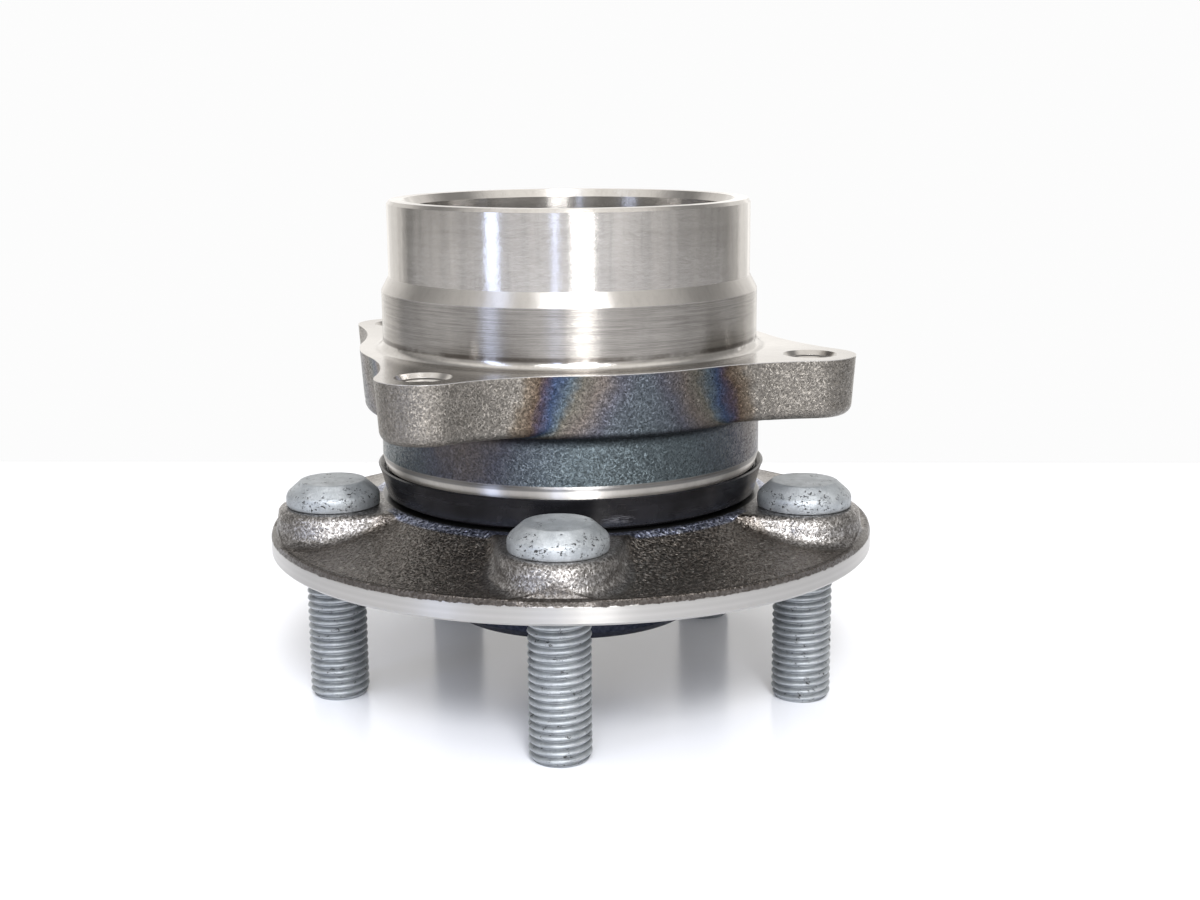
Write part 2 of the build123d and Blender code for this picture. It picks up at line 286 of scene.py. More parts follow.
def forged_skin(finish, scale, depth, glint):
    """Height of blasted dents and the normal that it gives. Scale is in dents per millimetre."""
    warp = finish.vector("MULTIPLY", finish.scatter(scale * 0.6, 1.0), (0.9, 0.9, 0.9))
    place = finish.vector("ADD", finish.place, warp)
    dents = finish.node("ShaderNodeTexVoronoi", {"Vector": place, "Scale": scale},
                        feature="SMOOTH_F1").outputs["Distance"]
    grit = finish.noise(scale * 1.9, 3.0, 0.65)
    height = finish.math("ADD", finish.times(dents, 0.7), finish.times(grit, 0.5))
    grains = finish.node("ShaderNodeTexVoronoi", {"Vector": place, "Scale": scale * 1.5})
    lean = finish.vector("SUBTRACT", grains.outputs["Color"], (0.5, 0.5, 0.5))
    lean = finish.vector("MULTIPLY", lean, (glint, glint, glint))
    return height, tilted(finish, finish.bump(height, depth), lean)


# %% [markdown]
# ## Outer ring
#
# The ring is one forging, turned all over except the sides of its flange and the body below it.
# Each zone could be a material of its own, but the CAD node is one mesh whose faces stay as they
# are, so one material holds them all and masks choose between them by radius and height.


# %% Outer ring: where it is forged
def nearest(finish, circle_r, azimuths):
    """Distance to the nearest of some axes that stand on a circle, azimuth 0 being -Y."""
    closest = None
    for azimuth in azimuths:
        foot = (circle_r * sin(radians(azimuth)), -circle_r * cos(radians(azimuth)), 0)
        away = finish.vector("MULTIPLY", finish.vector("SUBTRACT", finish.place, foot), (1, 1, 0))
        distance = finish.length(away)
        closest = finish.math("MINIMUM", closest, distance) if closest else distance
    return closest


ring = Finish("ring_steel", Metallic=1.0, Anisotropic=0.92, Anisotropic_Rotation=0.25)
land_z, land_top_z = 17.1, 19.75
flange_face_z = 41.5
forged_r = 38.9
bolt_circle_r, bolt_hole_r = 50.8, 5.5
bolt_azimuths = (-28.9, 71.1, 151.8, 232.5)
from_bolt = nearest(ring, bolt_circle_r, bolt_azimuths)
in_bolt_hole = ring.below(from_bolt, bolt_hole_r, 0.1)
on_side = ring.times(ring.between(ring.z, land_top_z, flange_face_z - 0.12, 0.15),
                     ring.above(ring.radius, forged_r, 0.1))
forged = ring.times(on_side, ring.opposite(in_bolt_hole))
report(ring)

# %% [markdown]
# ## Heat colours
#
# The raceways were hardened by induction, and that heat ran outwards and left the colours of a
# tempered oxide on the forged skin: straw where it was coolest, then brown, purple, blue and a
# dull grey blue. The turned faces were cut afterwards and stay bare. Painting each band by itself
# would leave gaps, so the colour is a ramp over one field, the distance to the nearest lobe,
# because the lobes stayed cool. Height and radius shift it, and noise makes its edges wander.

# %% Outer ring: heat colours
flange_root_r = 43.0
warmth_by_depth, warmth_by_radius, wander_by = 0.28, 4.5, 5.0
below_face = ring.math("SUBTRACT", flange_face_z, ring.z)
warmth = ring.math("MULTIPLY_ADD", below_face, warmth_by_depth, from_bolt)
towards_axis = ring.math("MAXIMUM", ring.math("SUBTRACT", flange_root_r, ring.radius), 0.0)
warmth = ring.math("MULTIPLY_ADD", towards_axis, warmth_by_radius, warmth)
wander = ring.math("SUBTRACT", ring.noise(0.22, 4.0, 0.6), 0.5)
warmth = ring.math("ADD", warmth, ring.times(wander, wander_by))
oxide_colours = (
    (0.35, (0.235, 0.218, 0.196)),   # bare, on the lobes
    (0.393, (0.168, 0.138, 0.108)),  # straw
    (0.437, (0.105, 0.077, 0.058)),  # brown
    (0.464, (0.062, 0.05, 0.068)),   # purple
    (0.50, (0.045, 0.064, 0.115)),   # blue
    (0.545, (0.085, 0.108, 0.128)),  # pale blue
    (0.585, (0.13, 0.122, 0.103)),   # straw again
    (0.65, (0.142, 0.122, 0.11)),    # pinkish brown
    (0.74, (0.096, 0.098, 0.119)),   # violet grey
    (0.80, (0.100, 0.114, 0.133)),   # grey blue
    (1.0, (0.108, 0.132, 0.144)))    # grey blue, on the body
warmth_at_end = 50.0
oxide = ring.ramp(ring.times(warmth, 1 / warmth_at_end), oxide_colours)
report(ring)

# %% Outer ring: forged skin
skin_height, skin_normal = forged_skin(ring, scale=2.4, depth=0.11, glint=0.50)
skin_shade = ring.ramp(skin_height, ((0.33, 0.60), (0.55, 0.92), (0.80, 1.35)))
# Painted shade: the body just under the flange is darkened, for the shadow that the flange casts on
# it.
corner_z, corner_top_z, corner_r = 27.7, 30.2, 42.6
painted_shade_under_flange = ring.times(ring.between(ring.z, corner_z, corner_top_z, 1.6),
                          ring.below(ring.radius, corner_r, 0.8))
skin_shade = ring.mix(ring.times(painted_shade_under_flange, 0.75), skin_shade, (0.12, 0.12, 0.13))
skin_colour = ring.node("ShaderNodeMix", {0: 1.0, 6: oxide, 7: skin_shade}, data_type="RGBA",
                        blend_type="MULTIPLY", clamp_result=False).outputs[2]
report(ring)

# %% [markdown]
# ## Turned faces of the ring
#
# The upper barrel is finely turned and shows clouds and faint upright chatter. The lower barrel
# was cut with a coarser feed, so it is darker, rougher and scored all around. A dark line, broken
# in places, runs around its foot, where the tool ends in a corner. The land above the seal is
# narrow, with rounded edges too small to model, so its normal leans up a little instead.

# %% Outer ring: turned colours
fine, broad = tool_marks(ring)
patches = ring.noise(0.06, 4.0, 0.6)
barrel_foot_z, cone_z, cone_top_z = 43.2, 53.1, 56.0
lower_barrel = ring.between(ring.z, barrel_foot_z, cone_z, 0.3)
cloudy = ring.math("ADD", ring.times(broad, 0.12), ring.times(patches, 0.88))
upper_colour = ring.ramp(cloudy, ((0.3, (0.48, 0.46, 0.44)), (0.7, (0.60, 0.58, 0.555))))
lined = ring.math("ADD", ring.times(fine, 0.55), ring.times(patches, 0.45))
lower_colour = ring.ramp(lined, ((0.36, (0.25, 0.235, 0.218)), (0.64, (0.45, 0.43, 0.405))))
turned_colour = ring.mix(lower_barrel, upper_colour, lower_colour)
report(ring)

# %% Outer ring: marks on the turned faces
unbroken = ring.above(ring.noise(0.16, 3.0), 0.44, 0.12)
foot_line = ring.times(ring.between(ring.z, 43.1, 44.0, 0.35), unbroken)
turned_colour = ring.mix(ring.times(foot_line, 0.7), turned_colour, (0.07, 0.055, 0.045))
# Painted shade: the upper part of the land, next to the body, is darkened.
painted_shade_on_land = ring.between(ring.z, land_top_z - 1.0, land_top_z + 0.05, 0.3)
turned_colour = ring.mix(ring.times(painted_shade_on_land, 0.75), turned_colour, (0.12, 0.12, 0.125))
grooves = ring.noise(1.0, 4.0, 0.7, ring.stretched(0.07, 0.07, 2.3))
grooved = ring.times(lower_barrel, ring.below(grooves, 0.47, 0.10))
turned_colour = ring.mix(ring.times(grooved, 0.30), turned_colour, (0.13, 0.12, 0.11))
chatter = ring.noise(1.0, 4.0, 0.7, ring.stretched(0.9, 0.9, 0.05))
chattered = ring.below(chatter, 0.43, 0.16)
turned_colour = ring.mix(ring.times(chattered, 0.13), turned_colour, (0.26, 0.25, 0.24))
report(ring)

# %% Outer ring: gloss and relief of the turned faces
cone = ring.between(ring.z, cone_z, cone_top_z, 0.1)
land = ring.between(ring.z, land_z, land_top_z, 0.1)
turned_rough = ring.math("MULTIPLY_ADD", broad, 0.05, 0.155)
turned_rough = ring.math("MULTIPLY_ADD", lower_barrel, 0.07, turned_rough)
turned_rough = ring.math("MULTIPLY_ADD", ring.math("MAXIMUM", cone, land), 0.12, turned_rough)
waves = ring.noise(1.0, 4.0, 0.7, ring.stretched(0.30, 0.30, 0.55))
waviness = ring.bump(waves, distance=0.035)
marks = ring.times(fine, ring.math("MULTIPLY_ADD", lower_barrel, 3.0, 1.0))
scored = ring.bump(marks, distance=0.003, normal=waviness)
turned_normal = raised(ring, scored, ring.times(land, 0.42))
report(ring)

# %% [markdown]
# ## Threads in the bolt holes
#
# The four holes are tapped M10 x 1.25. Only the first turns can be seen from outside, deep in a
# narrow hole, so a bump is enough here: a zigzag over the height, one wave to a pitch.

# %% Outer ring: tapped holes, and the finish put together
tap_pitch, tap_depth, countersink = 1.25, 11.0, 0.9
part_of_turn = ring.math("FRACT", ring.math("DIVIDE", ring.z, tap_pitch))
zigzag = ring.math("ABSOLUTE", ring.math("SUBTRACT", part_of_turn, 0.5))
tapped = ring.times(in_bolt_hole, ring.between(
    ring.z, flange_face_z - tap_depth, flange_face_z - countersink, 0.2))
turned_normal = ring.bump(ring.times(zigzag, tapped), distance=1.1, normal=turned_normal)
ring.set(Base_Color=ring.mix(forged, turned_colour, skin_colour),
         Roughness=ring.blend(forged, turned_rough, 0.36),
         Tangent=along_cut(ring),
         Normal=ring.blend_vectors(forged, turned_normal, skin_normal))
report(ring)

# %% [markdown]
# ## Wheel hub
#
# The hub is forged too, and darker than the ring, with a coarser skin and no heat colours. Its
# rim, its wheel face and the plane inside the bosses are turned. The pilot is left with a blue
# black protective film. Each zone is again a range of radius and height in one material.

# %% Hub: zones
hub = Finish("forged_steel", Metallic=1.0, Anisotropic=0.5, Anisotropic_Rotation=0.25)
rim_r, rim_top_z = 61.3, 3.1
plane_r, plane_z = 39.4, 10.7
wheel_face_z, bore_r = 0.9, 24.5
pilot_inner_r, pilot_outer_r, pilot_root_z = 25.0, 27.4, 0.6
rim_line = hub.math("MULTIPLY_ADD", hub.noise(0.8, 3.0), 0.9, rim_top_z)
above_line = hub.math("SUBTRACT", hub.z, rim_line)
rim = hub.times(hub.above(hub.radius, rim_r, 0.25), hub.below(above_line, 0.0, 0.12))
wheel_face = hub.below(hub.z, wheel_face_z, 0.1)
inside_bosses = hub.times(hub.above(hub.z, plane_z, 0.1), hub.below(hub.radius, plane_r, 0.5))
bores = hub.below(hub.radius, bore_r, 0.2)
turned = hub.math("MAXIMUM", hub.math("MAXIMUM", rim, wheel_face),
                  hub.math("MAXIMUM", inside_bosses, bores))
pilot = hub.times(hub.between(hub.radius, pilot_inner_r, pilot_outer_r, 0.1),
                  hub.below(hub.z, pilot_root_z, 0.1))
report(hub)

# %% [markdown]
# ## Bosses and web
#
# The five bosses are rubbed smoother and brighter than the web between them, so they get a finer
# skin of their own. A real boss flares out at its foot and has a small radius at its top, and both
# catch the light from above. Those rounds are finer than the solid's edges. They could be modelled,
# but a CAD mesh stays as it is, so the normal leans up in two bands of height instead. At the rim
# it leans down, where the web rolls over into the turned edge.

# %% Hub: skin
stud_circle_r, boss_r = 50.0, 13.6
stud_azimuths = (0, 72, 144, 216, 288)
from_stud = nearest(hub, stud_circle_r, stud_azimuths)
on_boss = hub.below(from_stud, boss_r, 1.5)
hub_height, hub_skin = forged_skin(hub, scale=1.8, depth=0.19, glint=0.42)
boss_height, boss_skin = forged_skin(hub, scale=2.3, depth=0.15, glint=0.45)
smooth_normal = hub.node("ShaderNodeNewGeometry").outputs["Normal"]
boss_skin = hub.blend_vectors(0.22, boss_skin, smooth_normal)
hub_skin = hub.blend_vectors(on_boss, hub_skin, boss_skin)
lean_at_top, lean_at_foot, lean_between, lean_at_rim = 0.42, 0.60, 0.08, -0.45
boss_top = hub.times(hub.between(hub.z, 8.6, 10.5, 0.5), lean_at_top)
boss_foot = hub.times(hub.between(hub.z, 3.6, 5.6, 0.6), lean_at_foot)
boss_lean = hub.math("ADD", hub.math("ADD", boss_top, boss_foot), lean_between)
by_rim = hub.above(hub.radius, 61.25, 0.3)
rim_lean = hub.times(by_rim, lean_at_rim)
hub_skin = raised(hub, hub_skin, hub.blend(on_boss, rim_lean, boss_lean))
report(hub)

# %% Hub: colours of the forged skin, with painted shade and a painted reflection
scale_patches = hub.noise(0.12, 4.0, 0.6)
web_shade = hub.math("MULTIPLY_ADD", scale_patches, 0.16, hub.math("SUBTRACT", hub_height, 0.08))
web_colour = hub.ramp(web_shade, (
    (0.30, (0.075, 0.065, 0.056)), (0.48, (0.175, 0.155, 0.14)),
    (0.64, (0.27, 0.246, 0.226)), (0.85, (0.44, 0.415, 0.39))))
boss_colour = hub.ramp(boss_height, (
    (0.32, (0.10, 0.095, 0.092)), (0.55, (0.27, 0.26, 0.255)), (0.78, (0.66, 0.65, 0.65))))
skin_of_hub = hub.mix(hub.times(on_boss, 0.80), web_colour, boss_colour)
# Painted shade: the web is darkened by the rim, where it rolls over into the turned edge.
skin_of_hub = hub.mix(hub.times(by_rim, 0.75), skin_of_hub, (0.06, 0.052, 0.046))
# Painted reflection: a bluish to white band along the web's inner edge, for the bluish window seen
# in its rounded edge.
painted_reflection_band = hub.times(hub.between(hub.radius, plane_r, plane_r + 2.3, 0.5),
                      hub.above(hub.z, 9.6, 0.4), hub.above(from_stud, 13.5, 2.0))
painted_reflection_colour = hub.ramp(hub_height, (
    (0.35, (0.07, 0.075, 0.10)), (0.55, (0.27, 0.30, 0.43)), (0.75, (0.75, 0.80, 0.95))))
skin_of_hub = hub.mix(painted_reflection_band, skin_of_hub, painted_reflection_colour)
report(hub)

# %% Hub: turned faces and pilot, and the finish put together
hub_fine, hub_broad = tool_marks(hub)
hub_turned = hub.ramp(hub_broad, ((0.3, (0.40, 0.39, 0.375)), (0.7, (0.52, 0.51, 0.495))))
# Painted shade: the turned plane inside the bosses is made nearly black, for the deep shadow under
# the seal.
hub_turned = hub.mix(hub.times(inside_bosses, 0.85), hub_turned, (0.02, 0.02, 0.022))
pilot_grit = hub.noise(1.2, 4.0, 0.7)
pilot_film = hub.ramp(pilot_grit, ((0.35, (0.012, 0.014, 0.024)), (0.75, (0.05, 0.055, 0.075))))
skin_rough = hub.blend(on_boss, 0.29, 0.35)
cut_rough = hub.math("MULTIPLY_ADD", hub_broad, 0.14, 0.24)
hub.set(Base_Color=hub.mix(pilot, hub.mix(turned, skin_of_hub, hub_turned), pilot_film),
        Roughness=hub.blend(pilot, hub.blend(turned, skin_rough, cut_rough), 0.5),
        Tangent=along_cut(hub),
        Normal=hub.blend_vectors(turned, hub_skin, hub.bump(hub_fine, distance=0.005)))
report(hub)

# %% [markdown]
# ## Zinc flake on the studs
#
# The studs are dipped in zinc flake, which dries to a matt grey with paler and darker clouds. It
# wears thin on corners and shows small dark pits where it missed. Painted shade darkens the thread
# roots, where the flanks shade them.
# Round pin holes and ragged flakes come from two patterns, and both keep to the same patches, most
# of all around the shoulder of the head.

# %% Zinc: where the coat missed
zinc = Finish("zinc_steel", Metallic=0.75)
on_shoulder = zinc.between(zinc.z, 11.2, 14.7, 1.0)
patch = zinc.math("ADD", zinc.noise(0.45, 2.0), zinc.times(on_shoulder, 0.13))
uneven = zinc.vector("MULTIPLY", zinc.scatter(1.6, 2.0), (1.5, 1.5, 0.8))
spots = zinc.node("ShaderNodeTexVoronoi", {
    "Vector": zinc.vector("ADD", zinc.place, uneven), "Scale": 1.0}).outputs["Distance"]
pin_holes = zinc.times(zinc.below(spots, 0.24, 0.08), zinc.above(patch, 0.60, 0.05))
ragged = zinc.noise(1.3, 5.0, 0.8, zinc.stretched(1.0, 1.0, 1.9))
flakes = zinc.times(zinc.above(ragged, 0.585, 0.03), zinc.above(patch, 0.585, 0.06))
pits = zinc.math("MAXIMUM", pin_holes, flakes)
report(zinc)

# %% Zinc: colour, gloss and relief
clouds = zinc.noise(0.35, 5.0, 0.62)
speckle = zinc.noise(3.2, 3.0, 0.7)
shade = zinc.math("ADD", zinc.times(clouds, 0.65), zinc.times(speckle, 0.35))
zinc_colour = zinc.ramp(shade, (
    (0.30, (0.28, 0.30, 0.32)), (0.50, (0.41, 0.435, 0.455)), (0.70, (0.56, 0.585, 0.605))))
# Painted shade: the thread roots are darkened, for the shade that falls between the flanks.
root_inner_r, root_outer_r, thread_end_z = 5.05, 5.62, -0.2
from_axis = nearest(zinc, stud_circle_r, stud_azimuths)
root = zinc.times(zinc.between(from_axis, root_inner_r, root_outer_r, 0.25),
                  zinc.below(zinc.z, thread_end_z, 0.1))
zinc_colour = zinc.mix(zinc.times(root, 0.25), zinc_colour, (0.10, 0.10, 0.105))
zinc.set(Base_Color=zinc.mix(pits, zinc_colour, (0.06, 0.06, 0.06)),
         Roughness=zinc.math("MULTIPLY_ADD", shade, 0.25, 0.37),
         Normal=zinc.bump(zinc.math("SUBTRACT", speckle, pits), distance=0.05))
report(zinc)

# %% [markdown]
# ## Seal rubber
#
# Seal rubber is moulded against a polished tool, so it is glossy black with faint flow streaks.
# A short scuff sits on the front of its weir. A decal would need a file, so the scuff is painted
# by the distance to one point. Places are squeezed along X, which draws it out sideways, and
# noise breaks it up.

# %% Seal rubber
rubber = Finish("seal_rubber", Specular_IOR_Level=0.38)
scuff_centre = (10.6, -37.2, 13.1)
streaks = rubber.noise(1.0, 3.0, 0.6, rubber.stretched(0.05, 0.05, 0.9))
bloom = rubber.noise(0.11, 4.0, 0.65)
from_scuff = rubber.vector("SUBTRACT", rubber.place, scuff_centre)
from_scuff = rubber.length(rubber.vector("MULTIPLY", from_scuff, (0.30, 0.0, 1.0)))
scratchy = rubber.noise(1.5, 4.0, 0.7, rubber.stretched(0.5, 0.5, 2.2))
broken = rubber.times(rubber.above(scratchy, 0.52, 0.16), rubber.below(rubber.y, 0.0, 1.0))
scuff = rubber.times(rubber.below(from_scuff, 0.75, 0.6), broken)
black = rubber.ramp(bloom, ((0.35, (0.0055, 0.0055, 0.0065)), (0.7, (0.015, 0.015, 0.018))))
gloss = rubber.math("MULTIPLY_ADD", streaks, 0.16, 0.17)
rubber.set(Base_Color=rubber.mix(scuff, black, (0.10, 0.10, 0.11)),
           Roughness=rubber.math("ADD", gloss, rubber.times(scuff, 0.25)),
           Normal=rubber.bump(streaks, distance=0.02))
report(rubber)

# %% [markdown]
# ## Parts inside
#
# The encoder is rubber filled with iron powder. Balls and inner ring are ground and lapped, the
# pressed sheet has a rolled grain, and the cages are natural nylon with some milky depth. They
# hardly show, and one grey could serve for all. But the part may be taken apart one day, so each
# kind gets a finish of its own.

# %% Encoder and nylon
encoder = Finish("encoder_rubber", Specular_IOR_Level=0.45)
powder = encoder.noise(5.0, 4.0, 0.7)
encoder.set(
    Base_Color=encoder.ramp(powder, ((0.35, (0.028, 0.025, 0.022)), (0.7, (0.075, 0.068, 0.060)))),
    Roughness=encoder.math("MULTIPLY_ADD", powder, 0.2, 0.38),
    Normal=encoder.bump(powder, distance=0.02))
report(encoder)

nylon = Finish("cage_plastic", Subsurface_Weight=0.15, Subsurface_Scale=0.001)
flow = nylon.noise(0.4, 3.0, 0.6)
nylon.set(Base_Color=nylon.ramp(flow, ((0.3, (0.70, 0.63, 0.48)), (0.7, (0.82, 0.76, 0.62)))),
          Roughness=nylon.math("MULTIPLY_ADD", flow, 0.2, 0.36),
          Normal=nylon.bump(nylon.noise(2.5), distance=0.015))
report(nylon)

# %% Bearing steel and sheet steel
bright = Finish("bearing_steel", Metallic=1.0, Anisotropic=0.3, Anisotropic_Rotation=0.25)
lapped, haze = tool_marks(bright, per_mm=14.0)
bright.set(Base_Color=bright.ramp(haze, ((0.3, (0.62, 0.61, 0.60)), (0.7, (0.74, 0.73, 0.72)))),
           Roughness=bright.math("MULTIPLY_ADD", haze, 0.08, 0.08),
           Tangent=along_cut(bright),
           Normal=bright.bump(lapped, distance=0.0015))
report(bright)

sheet = Finish("sheet_steel", Metallic=1.0, Anisotropic=0.3, Anisotropic_Rotation=0.25)
grain, oil = tool_marks(sheet, per_mm=5.0)
sheet.set(Base_Color=sheet.ramp(oil, ((0.3, (0.46, 0.455, 0.45)), (0.7, (0.60, 0.595, 0.59)))),
          Roughness=sheet.math("MULTIPLY_ADD", oil, 0.16, 0.22),
          Tangent=along_cut(sheet),
          Normal=sheet.bump(grain, distance=0.004))
report(sheet)

# %% [markdown]
# ## Hand the finishes out
#
# The CAD nodes arrive with plain stand-in materials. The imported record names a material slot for
# each node, and the finishes have the slots' names, so one loop gives every node its own.

# %% Give every CAD node its finish
finishes = {finish.material.name: finish.material
            for finish in (ring, hub, zinc, rubber, encoder, bright, sheet, nylon)}
slot_of = {part["node"]: part["material_slot"] for part in frame["record"]["subparts"]}
for name, node in frame["nodes"].items():
    node.data.materials.clear()
    node.data.materials.append(finishes[slot_of[name]])
print("finishes:", sorted(finishes))

# %% [markdown]
# ## Wheel studs
#
# The solids have plain shanks, and the real studs have a rolled M12 x 1.5 thread with rounded
# crests. A bump can't give the stepped outline of a thread, so it is modelled. One pitch of the
# flank profile is drawn as a short wire and wound into a helix by the Screw modifier. The wire's
# two ends are exactly one pitch apart, so merging doubles closes each turn onto the next. Without
# that a sheet would be left inside. A boolean cuts the helix to length and gives it its lead-in
# cone, and another joins it to a spun blank with the seat and the domed head.


# %% Studs: helpers
def only(*pieces):
    """Leave object mode's selection with these pieces alone, the last of them active."""
    bpy.ops.object.select_all(action="DESELECT")
    for piece in pieces:
        piece.select_set(True)
        bpy.context.view_layer.objects.active = piece


def apply_all(piece):
    only(piece)
    for modifier in list(piece.modifiers):
        bpy.ops.object.modifier_apply(modifier=modifier.name)


def cut(piece, tool, operation):
    """A boolean with a tool, which is used up."""
    modifier = piece.modifiers.new(operation.lower(), "BOOLEAN")
    modifier.operation = operation
    modifier.object = tool
    modifier.solver = "MANIFOLD"
    apply_all(piece)
    bpy.data.objects.remove(tool)


# %% Studs: wires and spun solids
merge_distance = 0.002 * mm


def wire(name, points):
    """A line through points (r, z) in millimetres, extruded from one vertex, place to place."""
    first_r, first_z = points[0]
    bpy.ops.object.select_all(action="DESELECT")
    bpy.ops.mesh.primitive_plane_add(size=1 * mm, location=(first_r * mm, 0, first_z * mm))
    piece = bpy.context.object
    piece.name = name
    bpy.ops.object.transform_apply(location=True, rotation=False, scale=False)
    bpy.ops.object.mode_set(mode="EDIT")
    bpy.ops.mesh.select_mode(type="VERT")
    bpy.ops.mesh.select_all(action="SELECT")
    bpy.ops.mesh.merge(type="CENTER")
    for start, end in zip(points, points[1:]):
        step = ((end[0] - start[0]) * mm, 0, (end[1] - start[1]) * mm)
        bpy.ops.mesh.extrude_region_move(TRANSFORM_OT_translate={"value": step})
    bpy.ops.object.mode_set(mode="OBJECT")
    return piece


def spun(name, points, steps=64):
    """A closed solid of revolution about Z, from a wire whose two ends lie on the axis."""
    piece = wire(name, points)
    bpy.ops.object.mode_set(mode="EDIT")
    bpy.ops.mesh.select_all(action="SELECT")
    bpy.ops.mesh.spin(steps=steps, angle=2 * pi, center=(0, 0, 0), axis=(0, 0, 1))
    bpy.ops.mesh.select_all(action="SELECT")
    bpy.ops.mesh.remove_doubles(threshold=merge_distance)
    bpy.ops.mesh.normals_make_consistent(inside=False)
    bpy.ops.object.mode_set(mode="OBJECT")
    return piece


# %% Studs: wind the thread
pitch = 1.5
turns = 24
thread_low, thread_high = -29.5, -0.6
winding_start = -33.0
root_r, crest_r = 5.12, 5.96
flank = [(root_r, 0), (5.16, 0.12), (5.72, 0.42), (5.88, 0.52), (crest_r, 0.66),
         (crest_r, 0.84), (5.88, 0.98), (5.72, 1.08), (5.16, 1.38), (root_r, pitch)]
thread = wire("thread", [(r, z + winding_start) for r, z in flank])
screw = thread.modifiers.new("screw", "SCREW")
screw.angle = 2 * pi
screw.screw_offset = pitch * mm
screw.iterations = turns
screw.steps = screw.render_steps = 48
apply_all(thread)
bpy.ops.object.mode_set(mode="EDIT")
bpy.ops.mesh.select_all(action="SELECT")
bpy.ops.mesh.remove_doubles(threshold=merge_distance)
bpy.ops.object.mode_set(mode="OBJECT")
print("thread faces before cutting:", len(thread.data.polygons))


# %% Studs: close the winding's two open ends
def select_open_end(piece, end):
    """Selects the edges with one face, at the top for end 1 and at the bottom for end -1."""
    middle_z = (thread_low + thread_high) / 2
    edge_use = {}
    for face in piece.data.polygons:
        for key in face.edge_keys:
            edge_use[key] = edge_use.get(key, 0) + 1
    for edge in piece.data.edges:
        z = sum(piece.data.vertices[i].co.z for i in edge.vertices) / 2 / mm
        edge.select = edge_use[edge.key] == 1 and (z - middle_z) * end > 0


for end in (-1, 1):
    bpy.ops.object.mode_set(mode="EDIT")
    bpy.ops.mesh.select_all(action="DESELECT")
    bpy.ops.object.mode_set(mode="OBJECT")
    select_open_end(thread, end)
    bpy.ops.object.mode_set(mode="EDIT")
    bpy.ops.mesh.select_mode(type="EDGE")
    bpy.ops.mesh.edge_face_add()
    bpy.ops.object.mode_set(mode="OBJECT")
bpy.ops.object.mode_set(mode="EDIT")
bpy.ops.mesh.select_all(action="SELECT")
bpy.ops.mesh.quads_convert_to_tris()
bpy.ops.mesh.normals_make_consistent(inside=False)
bpy.ops.object.mode_set(mode="OBJECT")
print("thread faces with its ends closed:", len(thread.data.polygons))

# %% Studs: cut the thread to length, and join it to the seat and the head
envelope = spun("envelope", [
    (0, thread_low), (5.0, thread_low), (5.3, thread_low + 0.25), (6.05, thread_low + 1.5),
    (6.05, thread_high - 0.6), (5.3, thread_high), (0, thread_high)])
cut(thread, envelope, "INTERSECT")
seat_r, head_r, head_z = 6.35, 9.4, 10.8
shank = [(0, -3.0), (4.9, -3.0), (4.9, -1.5), (5.35, -1.0), (5.9, -0.35), (6.0, 0),
         (seat_r, 0.6), (seat_r, head_z)]
head = [(9.0, head_z), (9.28, 10.92), (head_r, 11.25), (head_r, 12.4), (9.37, 12.8),
        (9.27, 13.15), (9.1, 13.46), (8.88, 13.74), (6.82, 15.6), (6.62, 15.76),
        (6.4, 15.85), (6.1, 15.87), (4.0, 15.93), (0, 15.96)]
stud = spun("threaded_stud", shank + head)
cut(stud, thread, "UNION")
bpy.ops.object.shade_smooth_by_angle(angle=radians(38))
print("one stud:", len(stud.data.polygons), "faces")

# %% Studs: five of them
stud.data.transform(Matrix.Translation((0, -stud_circle_r * mm, 0)))
stud.data.materials.clear()
stud.data.materials.append(zinc.material)
studs = [stud]
for azimuth in stud_azimuths[1:]:
    only(stud)
    bpy.ops.object.duplicate()
    copy = bpy.context.object
    copy.data.transform(Matrix.Rotation(radians(azimuth), 4, "Z"))
    studs.append(copy)
for number, copy in enumerate(studs, start=1):
    copy.name = f"threaded_stud_{number}"
    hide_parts(f"wheel_stud_{number}")
    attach(copy, "hub")
print("studs:", [copy.name for copy in studs])

# %% [markdown]
# ## Studio
#
# Polished and turned metal shows its surroundings more than its own colour. A room could be built
# from cards, but a world that is painted by direction does the same with no geometry: a pale wall
# behind, a dimmer room in front with two dark doorways, and a bright ceiling. To the camera itself
# the world is plain white paper, so the room is only seen in reflections.

# %% World: walls, by the direction around the part
world = bpy.data.worlds.new("studio")
bpy.context.scene.world = world
world.use_nodes = True
sky = Wiring(world.node_tree)
sight = sky.node("ShaderNodeTexCoord").outputs["Generated"]
to_right, to_back, upward = sky.node("ShaderNodeSeparateXYZ", {0: sight}).outputs[:3]
turned_by = sky.math("ARCTAN2", to_right, sky.math("MULTIPLY", to_back, -1.0))
around = sky.math("MULTIPLY_ADD", turned_by, 1 / (2 * pi), 0.5)
walls = [(-180, 1.12), (-132, 1.05), (-122, 0.60), (-117, 0.27), (-111, 0.27), (-106, 0.50),
         (-60, 0.55), (-20, 0.62), (20, 0.60), (40, 0.66), (66, 0.58), (74, 0.38), (118, 0.34),
         (126, 0.60), (140, 1.05), (180, 1.12)]
warm_green, warm_blue = 0.975, 0.94
wall_colour = sky.ramp(around, [
    ((degrees_round + 180) / 360, (grey, grey * warm_green, grey * warm_blue))
    for degrees_round, grey in walls])
wobble = sky.node("ShaderNodeTexNoise", {
    "W": around, "Scale": 26.0, "Detail": 5.0, "Roughness": 0.7}, noise_dimensions="1D")
wobble = sky.math("MULTIPLY_ADD", wobble.outputs["Fac"], 1.6, 0.2)
furniture = sky.node("ShaderNodeVectorMath", {0: wall_colour, "Scale": wobble},
                     operation="SCALE").outputs[0]
print("walls painted in", len(walls), "stops")

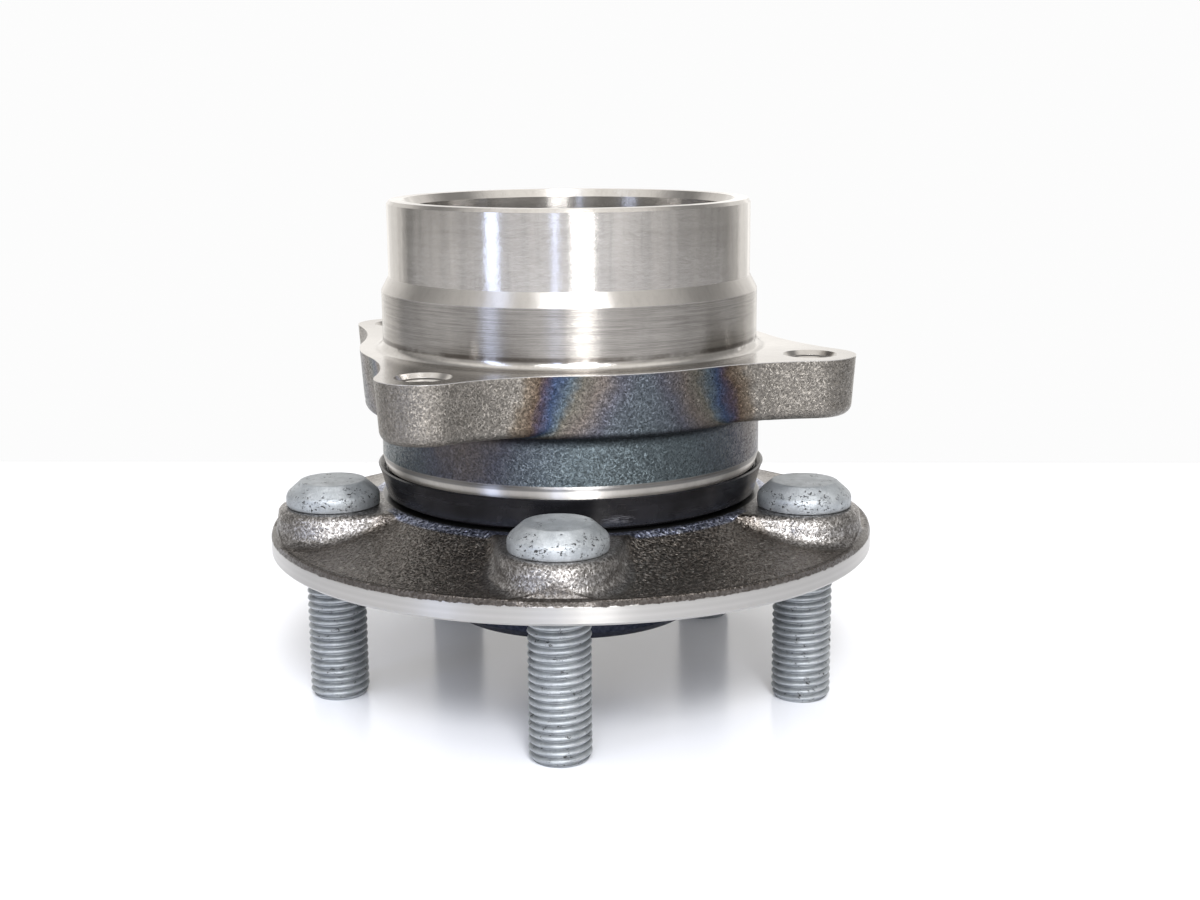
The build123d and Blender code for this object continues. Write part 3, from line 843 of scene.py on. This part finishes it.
# %% World: ceiling, and plain paper for the camera
in_front = sky.math("MULTIPLY_ADD", to_back, -4.0, 0.6, clamp=True)
ceiling = sky.mix(in_front, (0.40, 0.395, 0.39), (1.30, 1.27, 1.22))
overhead = sky.math("MULTIPLY_ADD", upward, 3.5, -1.6, clamp=True)
room_colour = sky.mix(overhead, furniture, ceiling)
seen_by_camera = sky.node("ShaderNodeLightPath").outputs["Is Camera Ray"]
paper = sky.mix(seen_by_camera, room_colour, (0.975, 0.975, 0.975))
background = sky.tree.nodes["Background"]
sky.tree.links.new(paper, background.inputs["Color"])
background.inputs["Strength"].default_value = 1.0
print("world nodes:", len(sky.tree.nodes))

# %% [markdown]
# ## Table
#
# The part stands on a smooth white table top, which gives it a soft, short reflection. One plane at
# the height of the stud tips is enough. It reaches well in front of the part and ends a little way
# behind it, where the white paper takes over. It is not part of the object.

# %% Table
floor_size = 1.2
floor_place = (0, -0.392, cad_box[0][2])
bpy.ops.object.select_all(action="DESELECT")
bpy.ops.mesh.primitive_plane_add(size=floor_size, location=floor_place)
floor = bpy.context.object
floor.name = "floor"
table = Finish("white_table")
table_tone = table.noise(0.012, 3.0, 0.5)
smears = table.noise(0.02, 4.0, 0.6)
table_white = table.ramp(table_tone, ((0.3, (0.85, 0.868, 0.92)), (0.7, (0.885, 0.895, 0.93))))
table.set(Base_Color=table_white,
          Roughness=table.math("MULTIPLY_ADD", smears, 0.10, 0.14),
          Specular_IOR_Level=0.5)
floor.data.materials.append(table.material)
report(table)

# %% [markdown]
# ## Lamps
#
# Area lamps stand for the windows, because a lamp is sampled better than a small bright spot in the
# world. Tall ones draw the upright streaks on the barrel, two of them bluish like a north window. A
# skylight lights the flange and the bosses from above. A soft sun fills the table, and it is kept
# out of reflections, where it would show as a round spot.


# %% Lamps
lamp_aim = Vector((0, 0, 0.03))


def softbox(name, azimuth, height, distance, size, colour, power):
    """A rectangular lamp that faces the part. Azimuth 0 is in front, 90 on the right."""
    lamp = bpy.data.lights.new(name, "AREA")
    lamp.shape = "RECTANGLE"
    lamp.size, lamp.size_y = size
    lamp.color = colour
    lamp.energy = power
    placed = bpy.data.objects.new(name, lamp)
    bpy.context.scene.collection.objects.link(placed)
    placed.location = (distance * sin(radians(azimuth)), -distance * cos(radians(azimuth)), height)
    toward = lamp_aim - placed.location
    placed.rotation_euler = toward.to_track_quat("-Z", "Y").to_euler()
    print(name, "stands at", placed.location)


softbox("window", azimuth=11, height=0.70, distance=1.1, size=(0.33, 1.5),
        colour=(1.0, 1.0, 1.0), power=9.5)
softbox("side_window", azimuth=-44.6, height=0.42, distance=1.1, size=(0.19, 1.1),
        colour=(0.58, 0.69, 1.0), power=1.8)
softbox("slim_window", azimuth=-5.5, height=0.60, distance=1.1, size=(0.08, 1.3),
        colour=(0.60, 0.70, 1.0), power=1.1)
softbox("skylight", azimuth=6, height=0.80, distance=1.0, size=(0.85, 0.34),
        colour=(0.97, 0.98, 1.0), power=6.5)

# %% Daylight
daylight_tilt, daylight_turn, daylight_spread = radians(47), radians(8), radians(16)
daylight = bpy.data.objects.new("daylight", bpy.data.lights.new("daylight", "SUN"))
daylight.data.energy = 1.0
daylight.data.angle = daylight_spread
daylight.rotation_euler = (daylight_tilt, 0, daylight_turn)
daylight.visible_glossy = False
bpy.context.scene.collection.objects.link(daylight)
bpy.context.scene.view_settings.view_transform = "Standard"
print("lamps:", sorted(lamp.name for lamp in bpy.data.lights))
